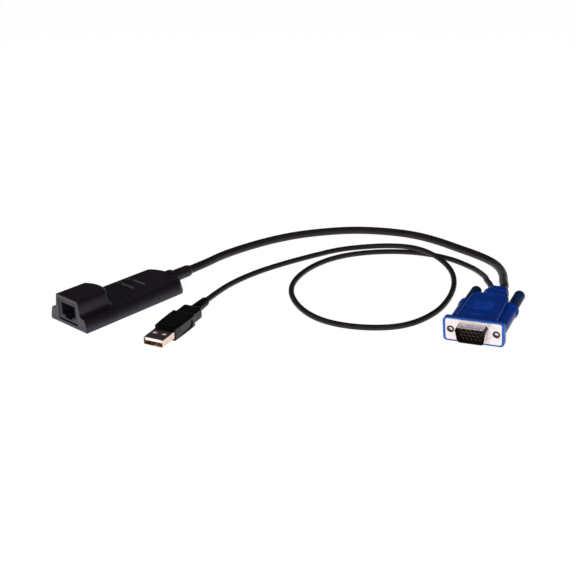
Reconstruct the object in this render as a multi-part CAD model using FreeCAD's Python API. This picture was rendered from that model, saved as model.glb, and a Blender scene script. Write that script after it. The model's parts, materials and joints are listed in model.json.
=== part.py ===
"""Keyboard, video and mouse adapter: a small housing with a network socket, and two tails that end in a
video plug and a USB plug.

Units are millimetres, +Z is up.  The origin is the middle of the housing's underside.  -X is the end with
the network socket and +X is the end that the main cable leaves.  Each plug is drawn in a frame of its own,
with +X out of its mouth, and then laid down where it rests.
"""
import FreeCAD
import Part
import math
import os

from FreeCAD import Placement, Rotation, Vector

os.makedirs("parts", exist_ok=True)

# ------------------------------------------------------------------ housing
BODY_LENGTH = 78.0
BODY_WIDTH = 31.8
TRAY_HEIGHT = 2.3            # height of the seam between the two shells
DECK_HEIGHT = 8.2            # top of the low deck and of the ledges beside the socket block
BLOCK_HEIGHT = 17.5          # top of the raised block over the network socket
BLOCK_LENGTH = 23.3
BLOCK_TOP_WIDTH = 18.8
BLOCK_DRAFT = 1.4            # how much the block narrows on each side from ledge to top
SIDE_TAPER = 1.5             # how much the low body narrows on each side from seam to deck
REAR_BULGE = 5.0             # rise of the rear end's arc
BLOCK_BULGE = 3.3            # rise of the arc at the back of the block
REAR_CORNER = 4.0
BLOCK_CORNER = 1.8
WALL = 1.5
FLOOR = 1.5
COVE = 2.3                   # concave blend between the block and its ledges
TOP_EDGE = 0.8
DECK_EDGE = 1.2
BASE_EDGE = 0.4
LIP_HEIGHT = 1.1
LIP_WALL = 0.7
FIT = 0.1                    # clearance between pieces that slide together

# ------------------------------------------------------------------ board and what stands on it
BOARD_THICKNESS = 1.2
BOARD_REST = 0.4             # height of the rests that carry the board above the floor
BOARD_HALF_WIDTH = 12.9
BOARD_END_CUT = 4.9
JACK_WIDTH = 15.8
JACK_HEIGHT = 12.0
JACK_DEPTH = 18.0
JACK_SET_BACK = 0.3          # how far the socket's face sits behind the housing's
JACK_GAP = 0.35              # gap round the socket in its window
PORT_WIDTH = 11.9
PORT_HEIGHT = 7.0
PORT_DEPTH = 13.4
PORT_RISE = 2.8              # from the socket's underside to the plug opening
LATCH_WIDTH = 6.2
LATCH_DROP = 1.7
CONTACT_COUNT = 8
CONTACT_PITCH = 1.02
CONTACT_WIDTH = 0.45
CONTACT_THICKNESS = 0.35
CONTACT_SLOT = 0.62
CONTACT_SLOT_DEPTH = 1.2
PEG_RADIUS = 1.2
PEG_SPACING = 11.0
LENS_RADIUS = 1.5
LENS_PROUD = 0.5
LENS_SIDE = 11.3             # distance of the light pipes from the centre plane
LENS_PLACES = (7.4, 13.9)
PIPE_RADIUS = 1.1
PIPE_FLANGE_RADIUS = 1.85
PIPE_FLANGE_HEIGHT = 0.6
LED_SIZE = (2.0, 1.3, 0.8)
SCREW_PLACES = (-11.5, 21.0)
SCREW_RADIUS = 1.0
SCREW_HEAD_RADIUS = 1.9
SCREW_HEAD_HEIGHT = 0.8
POST_RADIUS = 2.4
HEAD_RECESS = 0.9

# ------------------------------------------------------------------ main cable and its strain relief
CABLE_RADIUS = 2.6
CABLE_AXIS = 4.5             # height of the cable's axis where it leaves the housing
RELIEF_RADIUS = 3.8
RELIEF_NECK = 3.0
RELIEF_LENGTH = 15.0
RELIEF_TIP = 3.1
RELIEF_ROUND = 3.5           # length of the rounded nose at the relief's far end
COLLAR_RADIUS = 5.0
COLLAR_PROUD = 0.4           # of the housing's rear end
COLLAR_DEPTH = 2.5
ANCHOR_SIZE = (2.0, 8.8, 4.6)
LEAD_COUNT = 6
LEAD_RADIUS = 0.45
LEAD_PITCH = 1.3
HEADER_SIZE = (4.0, 9.4, 2.6)
LEAD_RUN = 3.7               # bare length of the cores between the anchor and the header
CONTROLLER = ((4.5, -4.5), (10.0, 10.0, 1.4), 8, 1.0)     # place, size, legs on a side and their pitch
VIDEO_DRIVER = ((14.0, 3.0), (5.0, 4.0, 1.5), 4, 1.27)
TRANSFORMER = ((-4.5, 6.0), (9.0, 6.5, 3.2), 6, 1.27)
LEG_REACH = 1.0
LEG_WIDTH = 0.35
LEG_HEIGHT = 0.5
CRYSTAL_PLACE = (-5.0, -9.4)
CRYSTAL_SIZE = (5.0, 3.2, 1.2)

# ------------------------------------------------------------------ video plug
PLUG_HEADING = 193.7         # degrees, where the plug's mouth points
PLUG_NOSE_DOWN = 3.5
PLUG_LEAN = 4.6
PLUG_PLACE = (85.9, -184.1)  # of the middle of the metal plate's face
PLATE_WIDTH = 30.81
PLATE_HEIGHT = 12.55
PLATE_THICKNESS = 0.8
PLATE_CORNER = 1.4
RIM_WIDTH = 33.4
RIM_HEIGHT = 14.1
RIM_DEPTH = 2.9
RIM_CORNER = 2.2
RIM_PROUD = 0.2
D_WIDTH = 16.92              # inside the metal nose
D_HEIGHT = 8.36
D_ANGLE = 10.0
D_CORNER = 2.0
D_REACH = 5.9
D_WALL = 0.4
INSULATOR_FACE = 0.7
INSULATOR_DEPTH = 6.0
PIN_RADIUS = 0.38
PIN_PITCH = 2.29
PIN_ROW = 1.98
PIN_TIP = 5.0
PIN_TAIL = 7.6
BACK_SHELL_DEPTH = 7.0
BACK_SHELL_SIZE = (19.0, 10.4)
BACK_SHELL_WALL = 0.5
BACK_SHELL_CORNER = 1.0
POTTING_BEHIND = 4.0         # how far the inner moulding reaches behind the back shell
SCREW_SPAN = 24.99           # between the two thumbscrews
THREAD_RADIUS = 1.42
THREAD_PLAY = 0.08
THREAD_SET_BACK = 0.5
SLEEVE_RADIUS = 3.9
SLEEVE_END = 30.0
SLEEVE_COLLAR = 0.6
SLEEVE_COLLAR_LENGTH = 2.4
KNOB_RADIUS = 3.15
KNOB_LENGTH = 20.0
KNOB_GAP = 0.3
KNOB_FLUTES = 12
KNOB_ROUND = 1.3
KNOB_CHANNEL = 0.5           # gap round the knob in the hood
FLUTE_RADIUS = 0.5
SHAFT_IN_KNOB = 0.75         # share of the knob's length that the screw reaches into it
HOOD_HALF_WIDTH = 11.5        # of the hood's middle, behind the rim
HOOD_REAR_HALF_WIDTH = 10.6  # and at its back, before the rounded shoulders
HOOD_HALF_HEIGHT = 6.2
HOOD_END = 36.5
HOOD_CORNER = 4.5
HOOD_EDGE = 1.2
PANEL_DEPTH = 0.35
PANEL_HALF_WIDTH = 9.6
PANEL_START = 6.0
PANEL_END = 33.5
PANEL_CORNER = 2.0
BOSS_HALF_WIDTH = 6.8
BOSS_HALF_HEIGHT = 4.9
BOSS_END = 50.0
BOSS_NECK = 5.5
BOSS_RIDGE = 44.0            # place of the ridge round the boss
BOSS_RIDGE_RISE = 0.4
BOSS_RIDGE_WIDTH = 1.6
CAP_HALF_WIDTH = 6.3         # of the boss behind its ridge
CAP_HALF_HEIGHT = 4.4
MAIN_EXIT = 2.9              # sideways place of the main cable in the boss
USB_EXIT = -4.3              # and of the USB cable

# ------------------------------------------------------------------ USB cable and plug
USB_CABLE_RADIUS = 1.7
USB_HEADING = 196.4
USB_PLACE = (-27.3, -56.9, 4.0)
USB_SHELL = (12.0, 4.5)
USB_SHELL_WALL = 0.3
USB_SHELL_CORNER = 0.6
USB_SHELL_OUT = 12.2         # length of shell that shows
USB_SHELL_IN = 6.0           # length of shell inside the grip
USB_HOLE = (2.0, 2.5)
USB_HOLE_PLACE = (6.7, 2.85)
TONGUE_THICKNESS = 1.8
TONGUE_SET_BACK = 0.7
TONGUE_ROOT = 9.6
USB_CONTACTS = (3.5, 1.0, -1.0, -3.5)
GRIP_FRONT_HALF_WIDTH = 6.6
GRIP_HALF_WIDTH = 7.2
GRIP_HALF_HEIGHT = 4.0
GRIP_END = 33.0
GRIP_STEP_HALF_WIDTH = 5.9
GRIP_STEP_HALF_HEIGHT = 3.5
GRIP_STEP_END = 43.5
GRIP_PAD = (17.0, 30.0, 2.5, 0.35)   # start, end, half height and depth of the finger pads
TAIL_RADIUS = 3.2
TAIL_TIP = 2.7
TAIL_END = 57.0
TAIL_GROOVES = 4
TAIL_GROOVE_WIDTH = 1.0
TAIL_GROOVE_DEPTH = 0.6

# ------------------------------------------------------------------ places worked out from the sizes
FRONT = -(BODY_LENGTH + COLLAR_PROUD) / 2
REAR = FRONT + BODY_LENGTH
COLLAR_END = REAR + COLLAR_PROUD
COLLAR_START = COLLAR_END - COLLAR_DEPTH
HALF_WIDTH = BODY_WIDTH / 2
DECK_HALF_WIDTH = HALF_WIDTH - SIDE_TAPER
BLOCK_BASE_HALF_WIDTH = BLOCK_TOP_WIDTH / 2 + BLOCK_DRAFT
BOARD_BOTTOM = FLOOR + BOARD_REST
BOARD_TOP = BOARD_BOTTOM + BOARD_THICKNESS
JACK_FRONT = FRONT + JACK_SET_BACK
JACK_BACK = JACK_FRONT + JACK_DEPTH
PORT_BOTTOM = BOARD_TOP + PORT_RISE
PORT_TOP = PORT_BOTTOM + PORT_HEIGHT
LEDGE_INSIDE = DECK_HEIGHT - WALL
SLOT_TOP = PORT_TOP + CONTACT_SLOT_DEPTH
LEDGE_WIDTH = DECK_HALF_WIDTH - BLOCK_BASE_HALF_WIDTH
ANCHOR_START = COLLAR_START - ANCHOR_SIZE[0]
HEADER_END = ANCHOR_START - LEAD_RUN
RELIEF_END = COLLAR_END + RELIEF_LENGTH
BORE_RADIUS = THREAD_RADIUS + THREAD_PLAY


def box(x0, x1, y0, y1, z0, z1):
    """A block between two corners."""
    return Part.makeBox(x1 - x0, y1 - y0, z1 - z0, Vector(x0, y0, z0))


def rod(radius, start, end):
    """A round bar from one point to another."""
    line = end - start
    return Part.makeCylinder(radius, line.Length, start, line)


def join(shapes):
    """One solid from pieces that touch or overlap."""
    whole = shapes[0]
    for shape in shapes[1:]:
        whole = whole.fuse(shape)
    return whole.removeSplitter()


def arc(a, b, c):
    return Part.Arc(a, b, c).toShape()


def line(a, b):
    return Part.LineSegment(a, b).toShape()


def edges_where(shape, test):
    """The edges whose whole length meets a test on their points."""
    found = []
    for edge in shape.Edges:
        points = edge.discretize(5)
        if all(test(p) for p in points):
            found.append(edge)
    return found


def plan_wire(z, front, half_width, tip, bulge, corner):
    """Outline seen from above: straight front and sides, an arc at the back, and rounded back corners."""
    radius = (half_width ** 2 + bulge ** 2) / (2 * bulge)
    centre = Vector(tip - radius, 0, z)
    reach = math.sqrt((radius - corner) ** 2 - (half_width - corner) ** 2)
    edges = []
    ends = {}
    for side in (1, -1):
        middle = Vector(centre.x + reach, side * (half_width - corner), z)
        outward = (middle - centre).normalize()
        on_side = Vector(middle.x, side * half_width, z)
        on_arc = centre + outward * radius
        halfway = middle + (Vector(0, side, 0) + outward).normalize() * corner
        edges.append(line(Vector(front, side * half_width, z), on_side))
        edges.append(arc(on_side, halfway, on_arc))
        ends[side] = on_arc
    edges.append(arc(ends[1], Vector(tip, 0, z), ends[-1]))
    edges.append(line(Vector(front, half_width, z), Vector(front, -half_width, z)))
    return Part.Wire(Part.__sortEdges__(edges))


def low_form(inset, z0, z1):
    """The low body between two heights, set in by a wall thickness from its outside."""
    def wire(z):
        share = max(0.0, (z - TRAY_HEIGHT) / (DECK_HEIGHT - TRAY_HEIGHT))
        return plan_wire(z, FRONT + inset, HALF_WIDTH - inset - SIDE_TAPER * share,
                         REAR - inset - 0.5 * SIDE_TAPER * share, REAR_BULGE, REAR_CORNER - 0.5 * inset)
    return Part.makeLoft([wire(z0), wire(z1)], True, True)


def block_form(inset, z0, z1):
    """The raised block between two heights, set in by a wall thickness."""
    def wire(z):
        share = (z - DECK_HEIGHT) / (BLOCK_HEIGHT - DECK_HEIGHT)
        return plan_wire(z, FRONT + inset, BLOCK_BASE_HALF_WIDTH - inset - BLOCK_DRAFT * share,
                         FRONT + BLOCK_LENGTH + BLOCK_DRAFT * (1 - share) - inset, BLOCK_BULGE,
                         BLOCK_CORNER - 0.5 * inset)
    return Part.makeLoft([wire(z0), wire(z1)], True, True)


def collar(bottom, top):
    """The short ring round the cable at the back of the housing, between two heights."""
    ring = rod(COLLAR_RADIUS, Vector(COLLAR_START, 0, CABLE_AXIS), Vector(COLLAR_END, 0, CABLE_AXIS))
    ring = ring.makeFillet(0.5, edges_where(ring, lambda p: p.x > COLLAR_END - 0.01)[:1])
    return ring.common(box(COLLAR_START - 1, COLLAR_END + 1, -HALF_WIDTH, HALF_WIDTH, bottom, top))


def cable_hole():
    """The way that the strain relief takes through the back wall."""
    neck = rod(RELIEF_NECK + FIT / 2, Vector(COLLAR_START - 3, 0, CABLE_AXIS),
               Vector(COLLAR_END + 1, 0, CABLE_AXIS))
    depth, width, height = ANCHOR_SIZE
    seat = box(COLLAR_START - depth - FIT, COLLAR_START, -width / 2 - FIT, width / 2 + FIT,
               CABLE_AXIS - height / 2 - FIT, CABLE_AXIS + height / 2 + FIT)
    return neck, seat


def upper_shell():
    """Deck, side walls and the block over the socket, as one moulding."""
    low = low_form(0, TRAY_HEIGHT, DECK_HEIGHT)
    block = block_form(0, DECK_HEIGHT, BLOCK_HEIGHT)
    low = low.makeFillet(DECK_EDGE, edges_where(low, lambda p: p.z > DECK_HEIGHT - 0.01 and p.x > FRONT + 0.1))
    block = block.makeFillet(TOP_EDGE, edges_where(
        block, lambda p: p.z > BLOCK_HEIGHT - 0.01 and p.x > FRONT + 0.1))
    form = join([low, block])

    def on_foot(p):
        return (abs(p.z - DECK_HEIGHT) < 0.01 and p.x > FRONT + 0.01
                and p.x < FRONT + BLOCK_LENGTH + 2 * BLOCK_DRAFT and abs(p.y) < BLOCK_BASE_HALF_WIDTH + 0.01)
    cove = min(COVE, LEDGE_WIDTH - DECK_EDGE - FIT)
    form = form.makeFillet(cove, [e for e in edges_where(form, lambda p: abs(p.z - DECK_HEIGHT) < 0.01)
                                  if on_foot(e.CenterOfMass)])
    hollow = join([low_form(WALL, TRAY_HEIGHT - 0.01, LEDGE_INSIDE),
                   block_form(WALL, LEDGE_INSIDE - 0.5, BLOCK_HEIGHT - WALL)])
    shell = join([form, collar(TRAY_HEIGHT, BLOCK_HEIGHT)]).cut(hollow)
    posts = [rod(POST_RADIUS, Vector(x, 0, BOARD_TOP), Vector(x, 0, LEDGE_INSIDE + 0.2)) for x in SCREW_PLACES]
    shell = join([shell] + posts)
    pilots = [rod(SCREW_RADIUS, Vector(x, 0, BOARD_TOP - 1), Vector(x, 0, LEDGE_INSIDE - 0.3))
              for x in SCREW_PLACES]
    half = JACK_WIDTH / 2 + JACK_GAP
    window = box(FRONT - 1, FRONT + WALL + 0.5, -half, half, TRAY_HEIGHT - 1, BOARD_TOP + JACK_HEIGHT + JACK_GAP)
    lens_holes = [rod(LENS_RADIUS + FIT / 2, Vector(x, LENS_SIDE, LEDGE_INSIDE - 0.5),
                      Vector(x, LENS_SIDE, DECK_HEIGHT + 1)) for x in LENS_PLACES]
    for tool in pilots + lens_holes + [window] + list(cable_hole()):
        shell = shell.cut(tool)
    return shell


def lower_shell():
    """The flat tray that closes the housing from below."""
    tray = low_form(0, 0, TRAY_HEIGHT)
    tray = tray.makeFillet(BASE_EDGE, edges_where(tray, lambda p: p.z < 0.01))
    tray = tray.cut(low_form(WALL, FLOOR, TRAY_HEIGHT + 1))
    lip = low_form(WALL + FIT, TRAY_HEIGHT - 0.8, TRAY_HEIGHT + LIP_HEIGHT).cut(
        low_form(WALL + FIT + LIP_WALL, TRAY_HEIGHT - 1.0, TRAY_HEIGHT + LIP_HEIGHT + 1))
    half = JACK_WIDTH / 2 + 2 * JACK_GAP
    lip = lip.cut(box(FRONT - 1, FRONT + 6, -half, half, 0, 9))
    tray = join([tray, lip, collar(0, TRAY_HEIGHT)])
    rests = [rod(POST_RADIUS, Vector(x, 0, FLOOR - 0.2), Vector(x, 0, BOARD_BOTTOM)) for x in SCREW_PLACES]
    for x in (FRONT + 5, REAR - 14):
        for side in (-1, 1):
            y = side * (BOARD_HALF_WIDTH - 1.5)
            rests.append(box(x, x + 3, y - 1, y + 1, FLOOR - 0.2, BOARD_BOTTOM))
    tray = join([tray] + rests)
    for x in SCREW_PLACES:
        tray = tray.cut(rod(SCREW_RADIUS + FIT, Vector(x, 0, -1), Vector(x, 0, BOARD_BOTTOM + 1)))
        tray = tray.cut(rod(SCREW_HEAD_RADIUS + FIT, Vector(x, 0, -1), Vector(x, 0, HEAD_RECESS)))
    for tool in cable_hole():
        tray = tray.cut(tool)
    return tray


def circuit_board():
    """The board, with its back corners cut off and holes for the screws and the socket's pegs."""
    front = FRONT + WALL + LIP_WALL + 2 * FIT
    back = ANCHOR_START - 4 * FIT
    half = BOARD_HALF_WIDTH
    cut = BOARD_END_CUT
    corners = [(front, -half), (back - cut, -half), (back, -half + cut), (back, half - cut),
               (back - cut, half), (front, half), (front, -half)]
    board = Part.Face(Part.makePolygon([Vector(x, y, BOARD_BOTTOM) for x, y in corners]))
    board = board.extrude(Vector(0, 0, BOARD_THICKNESS))
    for x in SCREW_PLACES:
        board = board.cut(rod(SCREW_RADIUS + FIT, Vector(x, 0, 0), Vector(x, 0, 9)))
    for x, y in peg_places():
        board = board.cut(rod(PEG_RADIUS + FIT, Vector(x, y, 0), Vector(x, y, 9)))
    return board


def peg_places():
    return [(JACK_FRONT + 0.5 * JACK_DEPTH, side * PEG_SPACING / 2) for side in (-1, 1)]


def contact_rows():
    """Sideways places of the socket's spring contacts."""
    first = -CONTACT_PITCH * (CONTACT_COUNT - 1) / 2
    return [first + CONTACT_PITCH * i for i in range(CONTACT_COUNT)]


def network_jack():
    """The moulded socket, latch side down, with its plug opening and comb of contact slots."""
    jack = box(JACK_FRONT, JACK_BACK, -JACK_WIDTH / 2, JACK_WIDTH / 2, BOARD_TOP, BOARD_TOP + JACK_HEIGHT)
    port = box(JACK_FRONT - 1, JACK_FRONT + PORT_DEPTH, -PORT_WIDTH / 2, PORT_WIDTH / 2, PORT_BOTTOM, PORT_TOP)
    latch = box(JACK_FRONT - 1, JACK_FRONT + PORT_DEPTH, -LATCH_WIDTH / 2, LATCH_WIDTH / 2,
                PORT_BOTTOM - LATCH_DROP, PORT_BOTTOM + 1)
    jack = jack.cut(port).cut(latch)
    jack = jack.cut(jack_lead_in())
    slots = [box(JACK_FRONT + 1.2, JACK_BACK + 1, y - CONTACT_SLOT / 2, y + CONTACT_SLOT / 2,
                 PORT_TOP - 0.3, SLOT_TOP) for y in contact_rows()]
    for slot in slots:
        jack = jack.cut(slot)
    pegs = [rod(PEG_RADIUS, Vector(x, y, BOARD_BOTTOM), Vector(x, y, BOARD_TOP + 0.5)) for x, y in peg_places()]
    return join([jack] + pegs)


def jack_lead_in():
    """A small bevel round the mouth of the plug opening."""
    bevel = 0.5

    def mouth(x, grow):
        half = PORT_WIDTH / 2 + grow
        return Part.makePolygon([Vector(x, y, z) for y, z in (
            (-half, PORT_BOTTOM - grow), (half, PORT_BOTTOM - grow), (half, PORT_TOP + grow),
            (-half, PORT_TOP + grow), (-half, PORT_BOTTOM - grow))])
    return Part.makeLoft([mouth(JACK_FRONT - 0.1, bevel + 0.1), mouth(JACK_FRONT + bevel, 0)], True, True)


def ribbon(points, thickness, y, width):
    """A flat strip that follows points (x, z), mitred at its bends."""
    left = []
    right = []
    for i, (x, z) in enumerate(points):
        ahead = points[min(i + 1, len(points) - 1)]
        behind = points[max(i - 1, 0)]
        into = Vector(x - behind[0], 0, z - behind[1])
        out = Vector(ahead[0] - x, 0, ahead[1] - z)
        if into.Length == 0:
            into = out
        if out.Length == 0:
            out = into
        into.normalize()
        out.normalize()
        mitre = (Vector(-into.z, 0, into.x) + Vector(-out.z, 0, out.x)).normalize()
        reach = thickness / 2 / mitre.dot(Vector(-into.z, 0, into.x))
        left.append(Vector(x, y - width / 2, z) + mitre * reach)
        right.append(Vector(x, y - width / 2, z) - mitre * reach)
    outline = left + right[::-1]
    return Part.Face(Part.makePolygon(outline + outline[:1])).extrude(Vector(0, width, 0))


def jack_contacts():
    """The spring wires: up the back of the socket, along its roof, and down into the opening."""
    roof = SLOT_TOP - CONTACT_THICKNESS / 2
    path = [(JACK_BACK + 0.4, BOARD_TOP), (JACK_BACK + 0.4, roof), (JACK_FRONT + 2.2, roof),
            (JACK_FRONT + 1.7, roof - 0.7), (JACK_FRONT + 2.6, PORT_TOP - 0.5),
            (JACK_FRONT + 10.6, PORT_BOTTOM + 4.75)]
    strips = [ribbon(path, CONTACT_THICKNESS, y, CONTACT_WIDTH) for y in contact_rows()]
    return Part.Compound(strips)


def light_pipe(x):
    """A clear moulding from a lamp on the board to a round lens in the deck."""
    top = DECK_HEIGHT + LENS_PROUD
    head = rod(LENS_RADIUS, Vector(x, LENS_SIDE, LEDGE_INSIDE - 0.4), Vector(x, LENS_SIDE, top))
    head = head.makeFillet(LENS_PROUD * 0.9, edges_where(head, lambda p: p.z > top - 0.01)[:1])
    flange = rod(PIPE_FLANGE_RADIUS, Vector(x, LENS_SIDE, LEDGE_INSIDE - PIPE_FLANGE_HEIGHT),
                 Vector(x, LENS_SIDE, LEDGE_INSIDE))
    stem = rod(PIPE_RADIUS, Vector(x, LENS_SIDE, BOARD_TOP + LED_SIZE[2] + 0.3),
               Vector(x, LENS_SIDE, LEDGE_INSIDE))
    return join([head, flange, stem])


def indicator_lamps():
    long, wide, high = LED_SIZE
    return Part.Compound([box(x - long / 2, x + long / 2, LENS_SIDE - wide / 2, LENS_SIDE + wide / 2,
                              BOARD_TOP, BOARD_TOP + high) for x in LENS_PLACES])


def flat_chip(chip, sides):
    """A moulded chip with rows of short legs on two or four sides."""
    (x, y), (long, wide, high), pins, pitch = chip
    pieces = [box(x - long / 2, x + long / 2, y - wide / 2, y + wide / 2, BOARD_TOP + 0.1, BOARD_TOP + high)]
    leg, thick = LEG_REACH, LEG_WIDTH
    for i in range(pins):
        at = (i - (pins - 1) / 2) * pitch
        pieces.append(box(x + at - thick / 2, x + at + thick / 2, y - wide / 2 - leg, y + wide / 2 + leg,
                          BOARD_TOP, BOARD_TOP + LEG_HEIGHT))
        if sides == 4:
            pieces.append(box(x - long / 2 - leg, x + long / 2 + leg, y + at - thick / 2, y + at + thick / 2,
                              BOARD_TOP, BOARD_TOP + LEG_HEIGHT))
    return join(pieces)


def case_screws():
    """The two screws that go up through the tray and the board into the upper shell."""
    screws = []
    for x in SCREW_PLACES:
        seat = HEAD_RECESS - SCREW_HEAD_HEIGHT
        head = rod(SCREW_HEAD_RADIUS, Vector(x, 0, seat), Vector(x, 0, HEAD_RECESS))
        shank = rod(SCREW_RADIUS - 0.02, Vector(x, 0, seat), Vector(x, 0, LEDGE_INSIDE - 0.6))
        cross = [box(x - a, x + a, -b, b, 0, seat + 0.5) for a, b in ((1.1, 0.25), (0.25, 1.1))]
        screws.append(join([head, shank]).cut(cross[0]).cut(cross[1]))
    return Part.Compound(screws)


def board_block(place, size):
    """A plain block that stands on the board."""
    (x, y), (long, wide, high) = place, size
    return box(x - long / 2, x + long / 2, y - wide / 2, y + wide / 2, BOARD_TOP, BOARD_TOP + high)


def inner_leads():
    """The cable's cores between the strain relief's anchor and the header on the board."""
    height = BOARD_TOP + HEADER_SIZE[2] / 2
    first = -LEAD_PITCH * (LEAD_COUNT - 1) / 2
    return Part.Compound([rod(LEAD_RADIUS, Vector(HEADER_END, first + LEAD_PITCH * i, height),
                              Vector(ANCHOR_START, first + LEAD_PITCH * i, height)) for i in range(LEAD_COUNT)])


def cable_relief():
    """The round boot on the main cable: a neck held in the wall, an anchor inside and a rounded nose."""
    start = COLLAR_END + 0.1
    nose = RELIEF_END - RELIEF_ROUND
    slope = 0.12

    def at(x, r):
        return Vector(x, 0, CABLE_AXIS + r)
    halfway = at(RELIEF_END - 0.32 * RELIEF_ROUND, RELIEF_TIP + 0.72 * (RELIEF_RADIUS - slope - RELIEF_TIP))
    root = COLLAR_START - ANCHOR_SIZE[0] / 2
    outline = [line(at(root, 0), at(root, RELIEF_NECK)),
               line(at(root, RELIEF_NECK), at(start, RELIEF_NECK)),
               line(at(start, RELIEF_NECK), at(start, RELIEF_RADIUS)),
               line(at(start, RELIEF_RADIUS), at(nose, RELIEF_RADIUS - slope)),
               arc(at(nose, RELIEF_RADIUS - slope), halfway, at(RELIEF_END, RELIEF_TIP)),
               line(at(RELIEF_END, RELIEF_TIP), at(RELIEF_END, 0)),
               line(at(RELIEF_END, 0), at(root, 0))]
    boot = Part.Face(Part.Wire(outline)).revolve(Vector(0, 0, CABLE_AXIS), Vector(1, 0, 0), 360)
    depth, width, height = ANCHOR_SIZE
    anchor = box(COLLAR_START - depth, COLLAR_START, -width / 2, width / 2,
                 CABLE_AXIS - height / 2, CABLE_AXIS + height / 2)
    return join([boot, anchor])


# ------------------------------------------------------------------ video plug, in its own frame
def plug_placement():
    """Lays the plug down with the lowest corner of its rim on the ground."""
    turn = Rotation(PLUG_HEADING, PLUG_NOSE_DOWN, PLUG_LEAN)
    x, y = PLUG_PLACE
    lowest = min(turn.multVec(Vector(RIM_PROUD, side * RIM_WIDTH / 2, -RIM_HEIGHT / 2)).z for side in (-1, 1))
    return Placement(Vector(x, y, -lowest), turn)


def slab_wire(x, half_width, half_height, corner):
    """A rounded rectangle across X."""
    def corner_arc(y, z, turn):
        centre = Vector(x, y, z)
        points = [centre + Vector(0, math.cos(math.radians(a)), math.sin(math.radians(a))) * corner
                  for a in (turn, turn + 45, turn + 90)]
        return points
    w, h = half_width - corner, half_height - corner
    arcs = [corner_arc(w, h, 0), corner_arc(-w, h, 90), corner_arc(-w, -h, 180), corner_arc(w, -h, 270)]
    edges = []
    for i, points in enumerate(arcs):
        edges.append(arc(*points))
        following = arcs[(i + 1) % 4][0]
        edges.append(line(points[2], following))
    return Part.Wire(edges)


def rounded_slab(x0, x1, half_width, half_height, corner):
    """A bar along X with a rounded rectangular section."""
    return Part.Face(slab_wire(x0, half_width, half_height, corner)).extrude(Vector(x1 - x0, 0, 0))


def stack(sections):
    """A bar along X through rounded rectangles (x, half width, half height, corner)."""
    return Part.makeLoft([slab_wire(*section) for section in sections], True, True)


def rounded_end(x, half_width, half_height, corner, radius):
    """Sections that round off a bar which ends at x on its -X side."""
    sections = []
    for degrees in (0, 30, 60, 80):
        angle = math.radians(degrees)
        inset = radius * (1 - math.cos(angle))
        sections.append((x + radius * (1 - math.sin(angle)), half_width - inset, half_height - inset,
                         corner - 0.6 * inset))
    inset = radius
    sections.append((x, half_width - inset, half_height - inset, corner - 0.6 * inset))
    return sections


def d_wire(x, grow):
    """The D-shaped inside of the metal nose, wide side up, grown or shrunk evenly."""
    lean = math.tan(math.radians(D_ANGLE))
    half_height = D_HEIGHT / 2 + grow
    middle = D_WIDTH / 2 - D_HEIGHT / 2 * lean + grow / math.cos(math.radians(D_ANGLE))
    top, bottom = middle + half_height * lean, middle - half_height * lean
    corners = [Vector(x, top, half_height), Vector(x, -top, half_height),
               Vector(x, -bottom, -half_height), Vector(x, bottom, -half_height)]
    radius = D_CORNER + grow
    edges = []
    ends = []
    for i, point in enumerate(corners):
        to_last = (corners[i - 1] - point).normalize()
        to_next = (corners[(i + 1) % 4] - point).normalize()
        half_angle = math.acos(to_last.dot(to_next)) / 2
        run = radius / math.tan(half_angle)
        inward = (to_last + to_next).normalize()
        middle_point = point + inward * (radius / math.sin(half_angle) - radius)
        ends.append((point + to_last * run, middle_point, point + to_next * run))
    for i, (start, middle_point, end) in enumerate(ends):
        edges.append(arc(start, middle_point, end))
        edges.append(line(end, ends[(i + 1) % 4][0]))
    return Part.Wire(edges)


def d_bar(x0, x1, grow):
    return Part.Face(d_wire(x0, grow)).extrude(Vector(x1 - x0, 0, 0))


def screw_sides():
    return (-SCREW_SPAN / 2, SCREW_SPAN / 2)


def video_plate():
    """The plated front shell: a flat flange and the D-shaped nose drawn out of it."""
    plate = rounded_slab(-PLATE_THICKNESS, 0, PLATE_WIDTH / 2, PLATE_HEIGHT / 2, PLATE_CORNER)
    nose = d_bar(-PLATE_THICKNESS / 2, D_REACH, D_WALL)
    nose = nose.makeFillet(0.35, edges_where(nose, lambda p: p.x > D_REACH - 0.01))
    shell = join([plate, nose])

    def on_root(p):
        return (abs(p.x) < 0.01 and abs(p.y) < D_WIDTH / 2 + 2 * D_WALL
                and abs(p.z) < D_HEIGHT / 2 + 2 * D_WALL)
    shell = shell.makeFillet(0.45, edges_where(shell, on_root))
    shell = shell.cut(d_bar(-PLATE_THICKNESS - 1, D_REACH + 1, 0))
    for y in screw_sides():
        shell = shell.cut(rod(BORE_RADIUS + FIT, Vector(-2, y, 0), Vector(1, y, 0)))
    return shell


def pin_places():
    """Three rows of five, the middle row half a pitch aside."""
    places = []
    for row, shift in ((1, 0.25), (0, -0.25), (-1, 0.25)):
        for i in range(5):
            places.append(((i - 2 + shift) * PIN_PITCH, row * PIN_ROW))
    return places


def video_insulator():
    nose = d_bar(-PLATE_THICKNESS - 0.2, INSULATOR_FACE, -FIT / 2)
    width, height = BACK_SHELL_SIZE
    seat = rounded_slab(-INSULATOR_DEPTH, -PLATE_THICKNESS, width / 2 - BACK_SHELL_WALL - FIT,
                        height / 2 - BACK_SHELL_WALL - FIT, BACK_SHELL_CORNER)
    body = join([seat, nose])
    for y, z in pin_places():
        body = body.cut(rod(PIN_RADIUS, Vector(-INSULATOR_DEPTH - 1, y, z), Vector(INSULATOR_FACE + 1, y, z)))
    return body


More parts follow.
